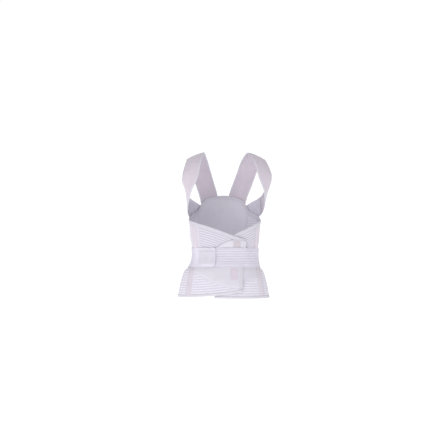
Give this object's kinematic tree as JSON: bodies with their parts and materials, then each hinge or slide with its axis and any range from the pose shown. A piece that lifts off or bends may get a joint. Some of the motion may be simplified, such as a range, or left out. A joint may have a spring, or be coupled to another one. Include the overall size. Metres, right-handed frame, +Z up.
{
  "type": "thoracolumbar brace",
  "caption": "Elastic waist corset with padded shoulder straps that cross at the back, wrap the waist as ribbed bands and close in front with a smooth hook patch; kept in its worn form",
  "frame": {"origin": "Middle of the waist, on the axis of the torso that the brace is worn on", "axes": "+Z up along the torso, -Y to the front of the wearer, +X to the wearer's left"},
  "size_m": [0.3355, 0.2225, 0.5229],
  "materials": {
    "elastic": "matt ribbed elastic",
    "smooth_cloth": "matt brushed loop cloth",
    "padded_strap": "matt padded knit",
    "trim": "fine woven tape",
    "casing": "close woven casing",
    "label": "blank woven patch"
  },
  "bodies": {
    "root": {"back_panel": "smooth_cloth", "side_gore_right": "elastic", "side_gore_left": "elastic", "stay_channel_right": "casing", "stay_channel_left": "casing", "front_upper_left": "elastic", "front_lower_left": "elastic", "front_tab_left": "smooth_cloth", "front_upper_right": "elastic", "front_lower_right": "elastic", "front_tab_right": "smooth_cloth", "top_tape_left": "trim", "top_tape_right": "trim", "hem_tape_left": "trim", "hem_tape_right": "trim", "end_tape_right": "trim", "shoulder_strap_right": "padded_strap", "shoulder_strap_left": "padded_strap", "waist_band_left": "elastic", "waist_band_right": "elastic", "band_tab": "smooth_cloth", "label_upper": "label", "label_lower": "label"}
  },
  "joints": []
}
